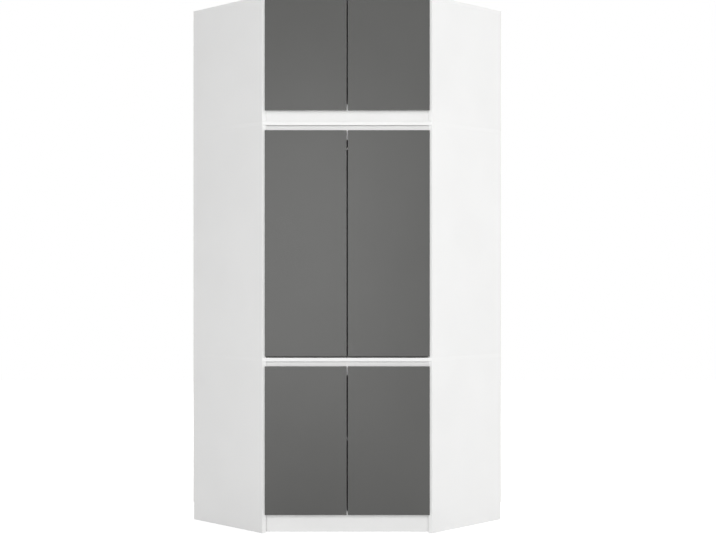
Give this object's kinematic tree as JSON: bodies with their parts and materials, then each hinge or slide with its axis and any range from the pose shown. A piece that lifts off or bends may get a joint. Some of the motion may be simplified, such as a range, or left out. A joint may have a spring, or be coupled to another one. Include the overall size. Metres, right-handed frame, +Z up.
{
  "type": "corner wardrobe",
  "caption": "Tall handle-less corner wardrobe with a diagonal front: white board carcass, graphite doors in three rows, and a top unit standing on the main body.",
  "frame": {"origin": "centre of the bounding box on the floor", "axes": "+Z up, -Y out of the diagonal front with the doors, +X to the right of a person who faces the doors; the room corner is at +Y"},
  "size_m": [1.4142, 1.0584, 2.336],
  "materials": {
    "white_melamine": "white melamine-faced chipboard, fine satin grain, white edge band",
    "graphite_melamine": "graphite grey melamine-faced chipboard, satin, matching edge band",
    "white_hardboard": "thin fibreboard, white lacquer inside and bare brown behind",
    "hinge_steel": "nickel-plated pressed steel",
    "rail_chrome": "polished chrome-plated steel tube"
  },
  "bodies": {
    "carcass": {"bottom_board": "white_melamine", "mid_board": "white_melamine", "main_top_board": "white_melamine", "top_unit_bottom_board": "white_melamine", "top_unit_top_board": "white_melamine", "lower_shelf": "white_melamine", "plinth_board": "white_melamine", "lower_front_rail": "white_melamine", "middle_front_rail": "white_melamine", "top_unit_front_rail": "white_melamine", "corner_post": "white_melamine", "top_unit_corner_post": "white_melamine", "lower_side_left": "white_melamine", "lower_side_right": "white_melamine", "middle_side_left": "white_melamine", "middle_side_right": "white_melamine", "top_unit_side_left": "white_melamine", "top_unit_side_right": "white_melamine", "main_back_left": "white_hardboard", "main_back_right": "white_hardboard", "top_unit_back_left": "white_hardboard", "top_unit_back_right": "white_hardboard", "clothes_rail": "rail_chrome", "rail_bracket_left": "rail_chrome", "rail_bracket_right": "rail_chrome", "lower_hinge_arm_left_1": "hinge_steel", "lower_hinge_arm_left_2": "hinge_steel", "lower_hinge_arm_right_1": "hinge_steel", "lower_hinge_arm_right_2": "hinge_steel", "middle_hinge_arm_left_1": "hinge_steel", "middle_hinge_arm_left_2": "hinge_steel", "middle_hinge_arm_left_3": "hinge_steel", "middle_hinge_arm_right_1": "hinge_steel", "middle_hinge_arm_right_2": "hinge_steel", "middle_hinge_arm_right_3": "hinge_steel", "top_hinge_arm_left_1": "hinge_steel", "top_hinge_arm_left_2": "hinge_steel", "top_hinge_arm_right_1": "hinge_steel", "top_hinge_arm_right_2": "hinge_steel"},
    "lower_left_door": {"lower_door_left": "graphite_melamine", "lower_hinge_cup_left_1": "hinge_steel", "lower_hinge_cup_left_2": "hinge_steel"},
    "lower_right_door": {"lower_door_right": "graphite_melamine", "lower_hinge_cup_right_1": "hinge_steel", "lower_hinge_cup_right_2": "hinge_steel"},
    "middle_left_door": {"middle_door_left": "graphite_melamine", "middle_hinge_cup_left_1": "hinge_steel", "middle_hinge_cup_left_2": "hinge_steel", "middle_hinge_cup_left_3": "hinge_steel"},
    "middle_right_door": {"middle_door_right": "graphite_melamine", "middle_hinge_cup_right_1": "hinge_steel", "middle_hinge_cup_right_2": "hinge_steel", "middle_hinge_cup_right_3": "hinge_steel"},
    "top_left_door": {"top_door_left": "graphite_melamine", "top_hinge_cup_left_1": "hinge_steel", "top_hinge_cup_left_2": "hinge_steel"},
    "top_right_door": {"top_door_right": "graphite_melamine", "top_hinge_cup_right_1": "hinge_steel", "top_hinge_cup_right_2": "hinge_steel"}
  },
  "joints": [
    {"name": "lower_left_door_hinge", "type": "hinge", "parent": "carcass", "child": "lower_left_door", "pos_m": [-0.35761, -0.52917, 0.404], "axis": [0, 0, -1], "range_deg": [0, 95]},
    {"name": "lower_right_door_hinge", "type": "hinge", "parent": "carcass", "child": "lower_right_door", "pos_m": [0.35761, -0.52917, 0.404], "axis": [0, 0, 1], "range_deg": [0, 95]},
    {"name": "middle_left_door_hinge", "type": "hinge", "parent": "carcass", "child": "middle_left_door", "pos_m": [-0.35761, -0.52917, 1.2595], "axis": [0, 0, -1], "range_deg": [0, 95]},
    {"name": "middle_right_door_hinge", "type": "hinge", "parent": "carcass", "child": "middle_right_door", "pos_m": [0.35761, -0.52917, 1.2595], "axis": [0, 0, 1], "range_deg": [0, 95]},
    {"name": "top_left_door_hinge", "type": "hinge", "parent": "carcass", "child": "top_left_door", "pos_m": [-0.35761, -0.52917, 2.0765], "axis": [0, 0, -1], "range_deg": [0, 95]},
    {"name": "top_right_door_hinge", "type": "hinge", "parent": "carcass", "child": "top_right_door", "pos_m": [0.35761, -0.52917, 2.0765], "axis": [0, 0, 1], "range_deg": [0, 95]}
  ]
}
